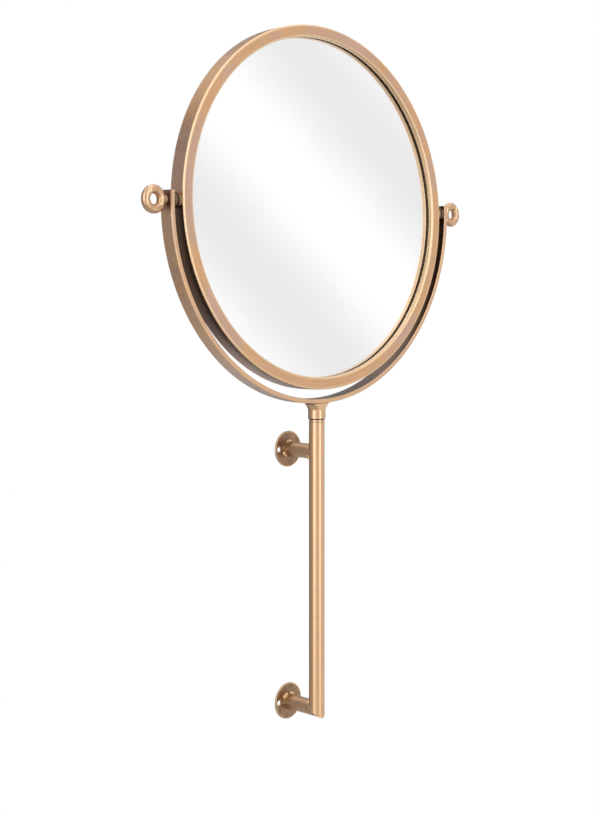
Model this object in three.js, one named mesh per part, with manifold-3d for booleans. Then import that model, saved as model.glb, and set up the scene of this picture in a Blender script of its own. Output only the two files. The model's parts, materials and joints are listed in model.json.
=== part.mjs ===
// Wall-hung shaving mirror: a round mirror in a deep brass hoop tilts between the tips of a
// half-ring yoke, and the yoke stands on a post that two short arms hold off the wall.
//
// Frame: millimetres, +X to the right, +Y into the wall, +Z up. The origin is the centre of the
// lower wall flange's back face, so the wall is the plane Y = 0 and the mirror looks along -Y.
import * as THREE from 'three';
import { mergeVertices } from 'three/addons/utils/BufferGeometryUtils.js';
import Module from 'manifold-3d';

const wasm = await Module();
wasm.setup();

// Overall size
const OVERALL_WIDTH = 490.2;
const OVERALL_HEIGHT = 769.6;
const OVERALL_DEPTH = 61;

// Clearance between pieces that touch
const GAP = 0.3;

// Hoop: a folded channel, open at the back
const HOOP_RADIUS = 199.2;
const HOOP_FACE = 13.2;
const HOOP_DEPTH = 20;
const HOOP_FRONT = -9.25;
const HOOP_WALL = 1.6;
const LIP_DEPTH = 6;
const EDGE = 0.7;
const LEAN = THREE.MathUtils.degToRad(1.65);

// Mirror and what stands behind it
const GLASS_THICKNESS = 3;
const SILVER_THICKNESS = 0.4;
const CUSHION_THICKNESS = 1;
const BOARD_THICKNESS = 4;
const PANE_PLAY = 1;
const PANE_RADIUS = HOOP_RADIUS - HOOP_WALL - PANE_PLAY;
const TAB_COUNT = 6;
const TAB_WIDTH = 14;
const TAB_THICKNESS = 1;
const TAB_REACH = 13;
const TAB_PLAY = 0.1;
const TAB_SCREW_INSET = 8;
const TAB_HOLE_RADIUS = 1.9;
const PILOT_HOLE_RADIUS = 1.7;
const PILOT_HOLE_DEPTH = 3.5;
const TAB_SCREW_DEPTH = 3;
const TAB_SCREW_SHANK_RADIUS = 1.4;
const TAB_SCREW_HEAD_RADIUS = 3;
const TAB_SCREW_HEAD_EDGE = 0.7;
const TAB_SCREW_HEAD_SHOULDER = 1.3;
const TAB_SCREW_CROWN_RADIUS = 2.2;
const TAB_SCREW_HEAD_HEIGHT = 1.5;

// Pivots and eye bolts
const EYE_RADIUS = 14.8;
const EYE_BAR_RADIUS = 4.9;
const SHANK_RADIUS = 4;
const SHANK_HOLE_RADIUS = 4.4;
const SHANK_CHAMFER = 0.6;
const SHANK_END_PLAY = 0.5;
const NECK_RADIUS = 5.2;
const NECK_COLLAR_LENGTH = 1.5;
const NECK_LENGTH = 3.5;
const BOSS_RADIUS = 8.5;
const BOSS_LENGTH = 4;
const WASHER_RADIUS = 7.4;
const BOSS_CHAMFER = 0.6;
const SPACER_PLAY = 0.5;
const WASHER_THICKNESS = 1.2;
const WASHER_CHAMFER = 0.2;

// Yoke
const YOKE_INNER_RADIUS = 209.5;
const YOKE_THICKNESS = 5;
const YOKE_WIDTH = 17;
const YOKE_TIP_RISE = 9.4;

// Socket under the yoke
const SOCKET_RADIUS = 9.65;
const SOCKET_FLARE_RADIUS = 13.6;
const SOCKET_FLARE_HEIGHT = 7.5;
const SOCKET_FLARE_POWER = 1.6;
const SOCKET_FLARE_STEPS = 5;
const SOCKET_HEIGHT = 17;
const SOCKET_CHAMFER = 0.5;
const BUSH_SHOULDER = 2.6;
const BUSH_LENGTH = 22;
const STUD_RADIUS = 3;
const STUD_LENGTH = 26;
const STUD_CHAMFER = 0.5;
const STUD_CEILING = 4;

// Post, arms and wall flanges
const POST_RADIUS = 8.62;
const ARM_RADIUS = 8.2;
const TUBE_WALL = 1.5;
const FLANGE_SPACING = 282;
const FLANGE_RADIUS = 20;
const FLANGE_THICKNESS = 1.8;
const SCREW_HOLE_RADIUS = 2.9;
const SCREW_HOLE_OFFSET = 14.6;
const FLANGE_CHAMFER = 0.4;
const TUBE_CHAMFER = 0.2;
const FOOT_BEAD = 2.2;
const TEE_BEAD = 1.6;

// How far a cutting tool runs past what it cuts
const OVERRUN = 5;

// Sides that stand for a full turn
const TURN = {
  hoop: 84, pane: 64, post: 48, flange: 40, socket: 40, arm: 32, bush: 32, teeCoat: 32, ring: 28,
  footBead: 24, teeSleeve: 20, pivot: 20, hole: 20, stud: 16, tabScrew: 14, smallHole: 12,
  ringBar: 12
};
const YOKE_ARC_STEPS = 48;

// Places that follow from the sizes above
const YOKE_OUTER_RADIUS = YOKE_INNER_RADIUS + YOKE_THICKNESS;
const HOOP_BACK = HOOP_FRONT + HOOP_DEPTH;
const HOOP_TOP = HOOP_RADIUS * Math.cos(LEAN) - HOOP_FRONT * Math.sin(LEAN);
const PIVOT_Z = OVERALL_HEIGHT - FLANGE_RADIUS - HOOP_TOP;
const PIVOT_Y = HOOP_RADIUS * Math.sin(LEAN) - HOOP_FRONT * Math.cos(LEAN) - OVERALL_DEPTH;
const EYE_X = OVERALL_WIDTH / 2 - EYE_RADIUS;
const SOCKET_TOP_Z = PIVOT_Z - YOKE_OUTER_RADIUS - GAP;
const SOCKET_BOTTOM_Z = SOCKET_TOP_Z - SOCKET_HEIGHT;
const POST_TOP_Z = SOCKET_BOTTOM_Z - GAP - BUSH_SHOULDER - GAP;
const STUD_TOP_Z = SOCKET_TOP_Z - STUD_CEILING;

// Finishes
const finish = (color, roughness, metalness, extra = {}) =>
  new THREE.MeshStandardMaterial({ color, roughness, metalness, ...extra });
const HOOP_BRASS = finish(0xa87c58, 0.42, 1);
const YOKE_BRASS = finish(0xa47856, 0.42, 1);
const POST_BRASS = finish(0xb98d62, 0.36, 1);
const ARM_BRASS = finish(0x8a6a4c, 0.5, 1);
const FLANGE_BRASS = finish(0x92714f, 0.55, 1);
const BEAD_BRASS = finish(0xd9a95a, 0.4, 1);
const EYE_BRASS = finish(0xb58a60, 0.4, 1);
const GLASS = finish(0xdfe9e4, 0.02, 0, { transparent: true, opacity: 0.35 });
const SILVER = finish(0xf2f4f4, 0.03, 1);
const FOAM = finish(0x3a3a3c, 0.9, 0);
const FIBREBOARD = finish(0x7a5c40, 0.8, 0);
const STEEL = finish(0xb9bab8, 0.35, 1);
const FIBRE = finish(0x2c2a28, 0.6, 0);

// A solid of revolution about Y. The outline is [radius, height] pairs, counter-clockwise.
function turned(outline, segments) {
  const points = outline.map(([radius, height]) => new THREE.Vector2(radius, height));
  return new THREE.LatheGeometry(points, segments);
}

// The outline of a ring between two radii and two heights, with its outer edges chamfered.
function ringOutline(inner, outer, low, high, chamfer) {
  return [
    [inner, low],
    [outer - chamfer, low],
    [outer, low + chamfer],
    [outer, high - chamfer],
    [outer - chamfer, high],
    [inner, high],
    [inner, low]
  ];
}

// A full disc or rod between two heights, with its edges chamfered.
function rodOutline(radius, low, high, chamfer) {
  return [
    [0, low],
    [radius - chamfer, low],
    [radius, low + chamfer],
    [radius, high - chamfer],
    [radius - chamfer, high],
    [0, high]
  ];
}

const rod = (radius, length, sides) => new THREE.CylinderGeometry(radius, radius, length, sides);
const alongX = (geometry) => geometry.rotateZ(-Math.PI / 2);
const alongZ = (geometry) => geometry.rotateX(Math.PI / 2);

// A closed geometry as a solid that can be joined and cut.
function solid(geometry) {
  const bare = geometry.clone();
  bare.deleteAttribute('normal');
  bare.deleteAttribute('uv');
  const merged = mergeVertices(bare);
  const triVerts = [];
  for (let i = 0; i < merged.index.count; i += 3) {
    const [a, b, c] = [0, 1, 2].map((corner) => merged.index.getX(i + corner));
    if (a !== b && b !== c && c !== a) triVerts.push(a, b, c);
  }
  return new wasm.Manifold(new wasm.Mesh({
    numProp: 3,
    vertProperties: Float32Array.from(merged.attributes.position.array),
    triVerts: Uint32Array.from(triVerts)
  }));
}

function toGeometry(manifold) {
  const { vertProperties, triVerts } = manifold.getMesh();
  const geometry = new THREE.BufferGeometry();
  geometry.setAttribute('position', new THREE.BufferAttribute(vertProperties, 3));
  geometry.setIndex(new THREE.BufferAttribute(triVerts, 1));
  return geometry;
}

function cut(geometry, ...tools) {
  return toGeometry(tools.reduce((rest, tool) => rest.subtract(solid(tool)), solid(geometry)));
}

function mesh(name, geometry, material, [x, y, z] = [0, 0, 0]) {
  const node = new THREE.Mesh(geometry, material);
  node.name = name;
  node.position.set(x, y, z);
  return node;
}

// ---------------------------------------------------------------------------------------------
// Wall bracket

// A round plate against the wall with a screw hole at its left and right.
function wallFlange() {
  const plate = turned(rodOutline(FLANGE_RADIUS, -FLANGE_THICKNESS, 0, FLANGE_CHAMFER),
    TURN.flange);
  const holes = [-1, 1].map((side) =>
    rod(SCREW_HOLE_RADIUS, 2 * OVERRUN, TURN.hole).translate(side * SCREW_HOLE_OFFSET, 0, 0));
  return cut(plate, ...holes);
}

// The fillet of filler metal between an arm's foot and its flange.
function flangeBead() {
  const inner = ARM_RADIUS + GAP;
  const base = -FLANGE_THICKNESS - GAP;
  const outline = [
    [inner, base - FOOT_BEAD],
    [inner + 0.3 * FOOT_BEAD, base - 0.86 * FOOT_BEAD],
    [inner + 0.9 * FOOT_BEAD, base - 0.3 * FOOT_BEAD],
    [inner + FOOT_BEAD, base],
    [inner, base],
    [inner, base - FOOT_BEAD]
  ];
  return turned(outline, TURN.footBead);
}

const ARM_FOOT_Y = -FLANGE_THICKNESS - GAP;

// A rod on the post's axis, long enough to pass right through the upper arm.
const postSleeve = (radius, sides) =>
  alongZ(rod(radius, 2 * (ARM_RADIUS + OVERRUN), sides)).translate(0, PIVOT_Y, 0);

// The upper arm, its far end coped round the post.
function upperArm() {
  const bore = ARM_RADIUS - TUBE_WALL;
  const tube = turned(ringOutline(bore, ARM_RADIUS, PIVOT_Y, ARM_FOOT_Y, TUBE_CHAMFER), TURN.arm);
  return cut(tube, postSleeve(POST_RADIUS + GAP, TURN.post));
}

// Slants the end ring of a tube to the 45 degree plane where the lower arm meets the post.
function mitred(geometry, isEnd, endValue) {
  const position = geometry.attributes.position;
  const vertex = new THREE.Vector3();
  for (let i = 0; i < position.count; i += 1) {
    vertex.fromBufferAttribute(position, i);
    if (isEnd(vertex)) {
      endValue(vertex);
      position.setXYZ(i, vertex.x, vertex.y, vertex.z);
    }
  }
  return geometry;
}

// The lower arm runs from its flange to the mitre.
function lowerArm() {
  const bore = ARM_RADIUS - TUBE_WALL;
  const square = [[bore, PIVOT_Y], [ARM_RADIUS, PIVOT_Y], [ARM_RADIUS, ARM_FOOT_Y],
    [bore, ARM_FOOT_Y], [bore, PIVOT_Y]];
  return mitred(turned(square, TURN.arm), (v) => v.y < PIVOT_Y + 1, (v) => {
    v.y = PIVOT_Y + v.z + GAP;
  });
}

// The post rises from the mitre to the bush that carries the yoke.
function post() {
  const bore = POST_RADIUS - TUBE_WALL;
  const square = [[bore, 0], [POST_RADIUS, 0], [POST_RADIUS, POST_TOP_Z],
    [bore, POST_TOP_Z], [bore, 0]];
  return mitred(alongZ(turned(square, TURN.post)), (v) => v.z < 1, (v) => {
    v.z = v.y + GAP;
  });
}

// The filler metal in the corner where the upper arm meets the post, all round the arm.
function teeBead() {
  const back = PIVOT_Y + POST_RADIUS + TEE_BEAD + OVERRUN;
  const outline = ringOutline(ARM_RADIUS + GAP, ARM_RADIUS + TEE_BEAD, PIVOT_Y, back, TUBE_CHAMFER);
  const coat = (radius) => solid(postSleeve(radius, TURN.teeCoat));
  const near = solid(turned(outline, TURN.teeSleeve)).intersect(coat(POST_RADIUS + TEE_BEAD));
  return toGeometry(near.subtract(coat(POST_RADIUS + GAP)));
}

function wallBracket() {
  const bracket = new THREE.Group();
  for (const [level, z] of [['lower', 0], ['upper', FLANGE_SPACING]]) {
    bracket.add(mesh(`${level}_wall_flange`, wallFlange(), FLANGE_BRASS, [0, 0, z]));
    bracket.add(mesh(`${level}_flange_bead`, flangeBead(), BEAD_BRASS, [0, 0, z]));
  }
  bracket.add(mesh('lower_arm', lowerArm(), ARM_BRASS));
  bracket.add(mesh('upper_arm', upperArm(), ARM_BRASS, [0, 0, FLANGE_SPACING]));
  bracket.add(mesh('upper_arm_bead', teeBead(), BEAD_BRASS, [0, 0, FLANGE_SPACING]));
  bracket.add(mesh('post', post(), POST_BRASS, [0, PIVOT_Y, 0]));
  return bracket;
}

// ---------------------------------------------------------------------------------------------
// Yoke and the socket it stands on

// The bush closes the post's top: a thin shoulder on the tube's end, a plug inside it and a
// tapped hole for the stud.
function postBush() {
  const shoulderTop = SOCKET_BOTTOM_Z - GAP;
  const shoulderBottom = shoulderTop - BUSH_SHOULDER;
  const plug = POST_RADIUS - TUBE_WALL - GAP;
  const hole = STUD_RADIUS + GAP;
  return alongZ(turned([
    [hole, shoulderTop - BUSH_LENGTH],
    [plug, shoulderTop - BUSH_LENGTH],
    [plug, shoulderBottom],
    [POST_RADIUS, shoulderBottom],
    [POST_RADIUS, shoulderTop],
    [hole, shoulderTop],
    [hole, shoulderTop - BUSH_LENGTH]
  ], TURN.bush));
}

// A stud joins the bush and the socket from inside.
function yokeStud() {
  const outline = rodOutline(STUD_RADIUS, STUD_TOP_Z - STUD_LENGTH, STUD_TOP_Z, STUD_CHAMFER);
  return alongZ(turned(outline, TURN.stud));
}

// The socket: turned round below, flared above, its front and back milled flat to the yoke's
// width, with a blind hole for the stud.
function yokeSocket() {
  const flareBottom = SOCKET_TOP_Z - SOCKET_FLARE_HEIGHT;
  const flare = Array.from({ length: SOCKET_FLARE_STEPS + 1 }, (_, i) => {
    const rise = i / SOCKET_FLARE_STEPS;
    const spread = (SOCKET_FLARE_RADIUS - SOCKET_RADIUS) * rise ** SOCKET_FLARE_POWER;
    return [SOCKET_RADIUS + spread, flareBottom + SOCKET_FLARE_HEIGHT * rise];
  });
  const round = alongZ(turned([
    [0, SOCKET_BOTTOM_Z],
    [SOCKET_RADIUS - SOCKET_CHAMFER, SOCKET_BOTTOM_Z],
    [SOCKET_RADIUS, SOCKET_BOTTOM_Z + SOCKET_CHAMFER],
    ...flare,
    [0, SOCKET_TOP_Z]
  ], TURN.socket));
  const milled = [-1, 1].map((side) => {
    const width = 2 * (SOCKET_FLARE_RADIUS + OVERRUN);
    const height = SOCKET_FLARE_HEIGHT + OVERRUN;
    const cutter = new THREE.BoxGeometry(width, SOCKET_FLARE_RADIUS, height);
    const y = side * (YOKE_WIDTH + SOCKET_FLARE_RADIUS) / 2;
    return cutter.translate(0, y, flareBottom + height / 2);
  });
  const studHole = alongZ(turned([
    [0, SOCKET_BOTTOM_Z - OVERRUN],
    [STUD_RADIUS + GAP, SOCKET_BOTTOM_Z - OVERRUN],
    [STUD_RADIUS + GAP, STUD_TOP_Z + GAP],
    [0, STUD_TOP_Z + GAP]
  ], TURN.stud));
  return cut(round, ...milled, studHole);
}

// A flat bar rolled on its flat into a little more than half a circle, a hole in each tip.
function yokeStrip() {
  const rise = Math.asin(YOKE_TIP_RISE / YOKE_INNER_RADIUS);
  const outline = new THREE.Shape();
  outline.absarc(0, 0, YOKE_OUTER_RADIUS, -Math.PI - rise, rise, false);
  outline.absarc(0, 0, YOKE_INNER_RADIUS, rise, -Math.PI - rise, true);
  const bar = new THREE.ExtrudeGeometry(outline, {
    depth: YOKE_WIDTH - 2 * EDGE,
    curveSegments: YOKE_ARC_STEPS,
    bevelThickness: EDGE,
    bevelSize: EDGE,
    bevelOffset: -EDGE,
    bevelSegments: 1
  });
  bar.translate(0, 0, EDGE - YOKE_WIDTH / 2).rotateX(Math.PI / 2);
  return cut(bar, alongX(rod(SHANK_HOLE_RADIUS, OVERALL_WIDTH, TURN.hole)));
}

function yoke() {
  const group = new THREE.Group();
  group.add(mesh('yoke_strip', yokeStrip(), YOKE_BRASS, [0, PIVOT_Y, PIVOT_Z]));
  group.add(mesh('yoke_socket', yokeSocket(), YOKE_BRASS, [0, PIVOT_Y, 0]));
  group.add(mesh('post_bush', postBush(), POST_BRASS, [0, PIVOT_Y, 0]));
  group.add(mesh('yoke_stud', yokeStud(), STEEL, [0, PIVOT_Y, 0]));
  return group;
}

// ---------------------------------------------------------------------------------------------
// Pivots: boss on the hoop, friction washer and spacer against the yoke, eye bolt through all

const BOSS_X = HOOP_RADIUS + GAP;
const WASHER_X = BOSS_X + BOSS_LENGTH + GAP;
const SPACER_X = WASHER_X + WASHER_THICKNESS + GAP;
const SPACER_END_X = YOKE_INNER_RADIUS - SPACER_PLAY;

// A drilled disc on the pivot axis, from one distance off the mirror's centre to another.
function pivotRing(radius, from, to, chamfer, side) {
  const outline = ringOutline(SHANK_HOLE_RADIUS, radius, from, to, chamfer);
  const ring = alongX(turned(outline, TURN.pivot));
  return side > 0 ? ring : ring.rotateZ(Math.PI);
}

// A forged bolt with a ring for its head: ring, short neck and threaded shank in one piece.
function eyeBolt(side) {
  const ring = new THREE.TorusGeometry(EYE_RADIUS - EYE_BAR_RADIUS, EYE_BAR_RADIUS, TURN.ringBar,
    TURN.ring);
  ring.rotateX(Math.PI / 2).translate(EYE_X, 0, 0);
  const end = BOSS_X + SHANK_END_PLAY;
  const shoulder = YOKE_OUTER_RADIUS + GAP;
  const shank = alongX(turned([
    [0, end],
    [SHANK_RADIUS - SHANK_CHAMFER, end],
    [SHANK_RADIUS, end + SHANK_CHAMFER],
    [SHANK_RADIUS, shoulder],
    [NECK_RADIUS, shoulder],
    [NECK_RADIUS, shoulder + NECK_COLLAR_LENGTH],
    [SHANK_RADIUS, shoulder + NECK_LENGTH],
    [0, shoulder + NECK_LENGTH]
  ], TURN.pivot));
  const bolt = toGeometry(solid(ring).add(solid(shank)));
  return side > 0 ? bolt : bolt.rotateZ(Math.PI);
}

function pivotPieces(sideName, side) {
  const group = new THREE.Group();
  group.position.set(0, PIVOT_Y, PIVOT_Z);
  group.add(mesh(`${sideName}_pivot_washer`,
    pivotRing(WASHER_RADIUS, WASHER_X, WASHER_X + WASHER_THICKNESS, WASHER_CHAMFER, side), FIBRE));
  group.add(mesh(`${sideName}_yoke_spacer`,
    pivotRing(BOSS_RADIUS, SPACER_X, SPACER_END_X, BOSS_CHAMFER, side), YOKE_BRASS));
  group.add(mesh(`${sideName}_eye_bolt`, eyeBolt(side), EYE_BRASS));
  return group;
}

// ---------------------------------------------------------------------------------------------
// Mirror head, drawn upright about the pivot axis and then leaned back

// The channel: outer wall, front face and short inner wall, one folded section all round.
function hoop() {
  const inner = HOOP_RADIUS - HOOP_FACE;
  const lipBack = HOOP_FRONT + LIP_DEPTH;
  return turned([
    [inner, HOOP_FRONT + EDGE],
    [inner + EDGE, HOOP_FRONT],
    [HOOP_RADIUS - EDGE, HOOP_FRONT],
    [HOOP_RADIUS, HOOP_FRONT + EDGE],
    [HOOP_RADIUS, HOOP_BACK],
    [HOOP_RADIUS - HOOP_WALL, HOOP_BACK],
    [HOOP_RADIUS - HOOP_WALL, HOOP_FRONT + HOOP_WALL],
    [inner + HOOP_WALL, HOOP_FRONT + HOOP_WALL],
    [inner + HOOP_WALL, lipBack],
    [inner, lipBack],
    [inner, HOOP_FRONT + EDGE]
  ], TURN.hoop);
}

// A round pane or sheet that fills the hoop.
function pane(low, thickness) {
  const high = low + thickness;
  return turned([[0, low], [PANE_RADIUS, low], [PANE_RADIUS, high], [0, high]], TURN.pane);
}

const GLASS_Y = HOOP_FRONT + LIP_DEPTH + GAP;
const SILVER_Y = GLASS_Y + GLASS_THICKNESS + GAP;
const CUSHION_Y = SILVER_Y + SILVER_THICKNESS + GAP;
const BOARD_Y = CUSHION_Y + CUSHION_THICKNESS + GAP;
const TAB_Y = BOARD_Y + BOARD_THICKNESS + GAP;
const TAB_OUTER_RADIUS = PANE_RADIUS + TAB_PLAY;
const TAB_SCREW_X = TAB_OUTER_RADIUS - TAB_SCREW_INSET;

// An angle tab: one leg lies on the backing board, the other stands along the hoop's wall.
function backTab(angle) {
  const profile = new THREE.Shape([
    [TAB_OUTER_RADIUS - TAB_REACH, TAB_Y],
    [TAB_OUTER_RADIUS, TAB_Y],
    [TAB_OUTER_RADIUS, HOOP_BACK - GAP],
    [TAB_OUTER_RADIUS - TAB_THICKNESS, HOOP_BACK - GAP],
    [TAB_OUTER_RADIUS - TAB_THICKNESS, TAB_Y + TAB_THICKNESS],
    [TAB_OUTER_RADIUS - TAB_REACH, TAB_Y + TAB_THICKNESS]
  ].map(([x, y]) => new THREE.Vector2(x, y)));
  const tab = new THREE.ExtrudeGeometry(profile, { depth: TAB_WIDTH, bevelEnabled: false });
  tab.translate(0, 0, -TAB_WIDTH / 2);
  const drill = rod(TAB_HOLE_RADIUS, 2 * OVERRUN, TURN.smallHole).translate(TAB_SCREW_X, TAB_Y, 0);
  return cut(tab, drill).rotateY(angle);
}

// A pan-head screw through the tab into the backing board.
function tabScrew(angle) {
  const seat = TAB_Y + TAB_THICKNESS + GAP;
  const screw = turned([
    [0, TAB_Y - TAB_SCREW_DEPTH],
    [TAB_SCREW_SHANK_RADIUS, TAB_Y - TAB_SCREW_DEPTH],
    [TAB_SCREW_SHANK_RADIUS, seat],
    [TAB_SCREW_HEAD_RADIUS, seat],
    [TAB_SCREW_HEAD_RADIUS, seat + TAB_SCREW_HEAD_EDGE],
    [TAB_SCREW_CROWN_RADIUS, seat + TAB_SCREW_HEAD_SHOULDER],
    [0, seat + TAB_SCREW_HEAD_HEIGHT]
  ], TURN.tabScrew);
  return screw.translate(TAB_SCREW_X, 0, 0).rotateY(angle);
}

// The backing board, with a pilot hole under every tab.
function backingBoard(angles) {
  const holes = angles.map((angle) => {
    const drill = rod(PILOT_HOLE_RADIUS, 2 * PILOT_HOLE_DEPTH, TURN.smallHole);
    return drill.translate(TAB_SCREW_X, TAB_Y, 0).rotateY(angle);
  });
  return cut(pane(BOARD_Y, BOARD_THICKNESS), ...holes);
}

function mirrorHead() {
  const head = new THREE.Group();
  head.position.set(0, PIVOT_Y, PIVOT_Z);
  head.rotation.x = -LEAN;
  const angles = Array.from({ length: TAB_COUNT }, (_, i) => Math.PI * (2 * i + 1) / TAB_COUNT);
  head.add(mesh('hoop', hoop(), HOOP_BRASS));
  head.add(mesh('mirror_glass', pane(GLASS_Y, GLASS_THICKNESS), GLASS));
  head.add(mesh('mirror_silvering', pane(SILVER_Y, SILVER_THICKNESS), SILVER));
  head.add(mesh('cushion_sheet', pane(CUSHION_Y, CUSHION_THICKNESS), FOAM));
  head.add(mesh('backing_board', backingBoard(angles), FIBREBOARD));
  angles.forEach((angle, i) => {
    head.add(mesh(`back_tab_${i + 1}`, backTab(angle), STEEL));
    head.add(mesh(`back_tab_screw_${i + 1}`, tabScrew(angle), STEEL));
  });
  for (const [sideName, side] of [['left', -1], ['right', 1]]) {
    const boss = pivotRing(BOSS_RADIUS, BOSS_X, BOSS_X + BOSS_LENGTH, BOSS_CHAMFER, side);
    head.add(mesh(`${sideName}_pivot_boss`, boss, EYE_BRASS));
  }
  return head;
}

const group = new THREE.Group();
group.add(wallBracket(), yoke(), mirrorHead(), pivotPieces('left', -1), pivotPieces('right', 1));

export default group;
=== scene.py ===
# %% [markdown]
# # A shaving mirror on a wall bracket, in brushed antique brass
# The real object is a round mirror in a deep brass hoop. The hoop tilts between the tips of a half-ring
# yoke, and the yoke stands on a post that two short arms hold off the wall.
# The moving model is packed already, so this lesson builds the fine surfaces around it. Every size and
# place below is read from that model, and each piece then rides on the body that carries it.

# %% Load the frame
import json
import math

import bmesh
import bpy
import numpy as np
from mathutils import Matrix, Vector, noise
from mathutils.kdtree import KDTree

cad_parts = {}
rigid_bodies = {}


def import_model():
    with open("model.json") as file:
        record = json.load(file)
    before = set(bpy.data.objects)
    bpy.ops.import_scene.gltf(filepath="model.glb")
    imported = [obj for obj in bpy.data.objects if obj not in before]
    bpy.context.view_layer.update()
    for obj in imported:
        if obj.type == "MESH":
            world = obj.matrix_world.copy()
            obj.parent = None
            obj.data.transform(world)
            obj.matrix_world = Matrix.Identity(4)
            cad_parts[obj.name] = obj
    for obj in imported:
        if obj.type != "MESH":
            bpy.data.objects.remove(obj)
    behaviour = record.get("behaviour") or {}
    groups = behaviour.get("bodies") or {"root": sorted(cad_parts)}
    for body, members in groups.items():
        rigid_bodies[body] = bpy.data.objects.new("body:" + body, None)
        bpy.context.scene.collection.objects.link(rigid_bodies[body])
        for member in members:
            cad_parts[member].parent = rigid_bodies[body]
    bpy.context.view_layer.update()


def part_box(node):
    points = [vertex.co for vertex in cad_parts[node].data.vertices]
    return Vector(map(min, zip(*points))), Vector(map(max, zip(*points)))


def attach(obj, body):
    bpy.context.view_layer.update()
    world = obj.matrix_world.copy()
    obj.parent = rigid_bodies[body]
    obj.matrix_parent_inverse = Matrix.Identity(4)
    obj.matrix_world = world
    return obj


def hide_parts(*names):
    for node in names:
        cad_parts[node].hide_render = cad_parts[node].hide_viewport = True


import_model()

MM = 0.001
scene = bpy.context.scene


# %% Objects and their meshes
def put(name, data):
    """A new object in the scene."""
    made = bpy.data.objects.new(name, data)
    scene.collection.objects.link(made)
    return made


def plain_mesh(holder):
    """The mesh that an object's modifiers make. The object itself goes."""
    depsgraph = bpy.context.evaluated_depsgraph_get()
    mesh = bpy.data.meshes.new_from_object(holder.evaluated_get(depsgraph), depsgraph=depsgraph)
    bpy.data.objects.remove(holder)
    return mesh


print("objects in the frame", len(scene.collection.all_objects))

# %% [markdown]
# ## Measure the frame
# A node's box gives its middle and its extent. The pivot axis runs through the spacers, and the mirror
# leans back a little, so its pieces are drawn upright about the pivot and then turned by that lean.
# The lean comes from the silver layer: a thin disc that leans covers more depth than its thickness.


# %% Pivot, lean and hoop sizes
def middle(node):
    low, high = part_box(node)
    return (low + high) / 2


def extent(node):
    low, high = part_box(node)
    return high - low


SILVER_THICKNESS = 0.4 * MM
pivot = Vector((0, middle("right_yoke_spacer").y, middle("right_yoke_spacer").z))
lean = math.asin((extent("mirror_silvering").y - SILVER_THICKNESS) / extent("mirror_silvering").x)
hoop_radius = extent("hoop").x / 2
pane_radius = extent("mirror_silvering").x / 2
slant = 2 * hoop_radius * math.sin(lean)
hoop_depth = (extent("hoop").y - slant) / math.cos(lean)
hoop_front = (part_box("hoop")[0].y - pivot.y + slant / 2) / math.cos(lean)
upright = Matrix.Rotation(math.pi / 2, 4, "X")
head_place = Matrix.Translation(pivot) @ Matrix.Rotation(-lean, 4, "X")
print("pivot", tuple(round(v, 4) for v in pivot), "lean", round(math.degrees(lean), 2), "degrees")
print("hoop radius", round(hoop_radius, 4), "depth", round(hoop_depth, 4), "front", round(hoop_front, 4))

# %% [markdown]
# ## Camera
# The mirror is seen from its left at eye height, through a longish lens and from about arm's length
# away, so the hoop's outer wall shows on one side and its inner wall on the other. The camera stays
# level and the frame is moved down a little instead, which keeps the post upright in the picture.

# %% Camera
VIEW_BEARING = math.radians(44.87)
VIEW_DISTANCE = 1.610
VIEW_SIDESTEP = 0.0184
VIEW_DROP = 0.0856
LENS = 64.67
SENSOR_WIDTH = 36
FRAME_SHIFT = -0.150

forward = Vector((math.sin(VIEW_BEARING), math.cos(VIEW_BEARING), 0))
sideways = Vector((forward.y, -forward.x, 0))
camera = put("camera", bpy.data.cameras.new("camera"))
camera.location = pivot - VIEW_DISTANCE * forward - VIEW_SIDESTEP * sideways - VIEW_DROP * Vector((0, 0, 1))
camera.rotation_euler = (math.pi / 2, 0, -VIEW_BEARING)
camera.data.lens = LENS
camera.data.sensor_width = SENSOR_WIDTH
camera.data.shift_y = FRAME_SHIFT
scene.camera = camera
scene.view_settings.view_transform = "Standard"
print("camera at", tuple(round(v, 3) for v in camera.location))

# %% [markdown]
# ## Node helpers
# A material or a Geometry Nodes tree is a list of nodes and the links between them. One helper adds a
# node, sets its options and fills its sockets: a value is typed in, and another node's output is linked.
# The short ones after it name the nodes that come back most often.


# %% Helpers for nodes
def fill(tree, node, sockets):
    for key, value in sockets.items():
        if isinstance(value, bpy.types.NodeSocket):
            tree.links.new(value, node.inputs[key])
        else:
            node.inputs[key].default_value = value
    return node


def add(tree, kind, sockets=None, **options):
    made = tree.nodes.new(kind)
    for option, value in options.items():
        setattr(made, option, value)
    return fill(tree, made, sockets or {})


def calc(tree, operation, *values):
    return add(tree, "ShaderNodeMath", dict(enumerate(values)), operation=operation).outputs[0]


def remap(tree, value, low, high, to_low, to_high, smooth=False):
    kind = "SMOOTHSTEP" if smooth else "LINEAR"
    sockets = {"Value": value, "From Min": low, "From Max": high, "To Min": to_low, "To Max": to_high}
    return add(tree, "ShaderNodeMapRange", sockets, interpolation_type=kind).outputs[0]


def blend(tree, share, first, second, how="MIX"):
    sockets = {0: share, 6: first, 7: second}
    return add(tree, "ShaderNodeMix", sockets, data_type="RGBA", blend_type=how).outputs[2]


# %% Helpers for single nodes
def noisy(tree, vector, scale, detail=2.0, **more):
    sockets = {"Vector": vector, "Scale": scale, "Detail": detail, **more}
    return add(tree, "ShaderNodeTexNoise", sockets).outputs[0]


def carried(tree, name):
    """An attribute that the mesh carries."""
    return add(tree, "ShaderNodeAttribute", attribute_name=name).outputs["Fac"]


def split(tree, vector):
    return add(tree, "ShaderNodeSeparateXYZ", {0: vector}).outputs


def joined(tree, x=0.0, y=0.0, z=0.0):
    return add(tree, "ShaderNodeCombineXYZ", {0: x, 1: y, 2: z}).outputs[0]


def bumped(tree, height, strength, distance):
    sockets = {"Height": height, "Strength": strength, "Distance": distance}
    return add(tree, "ShaderNodeBump", sockets).outputs[0]


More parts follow.
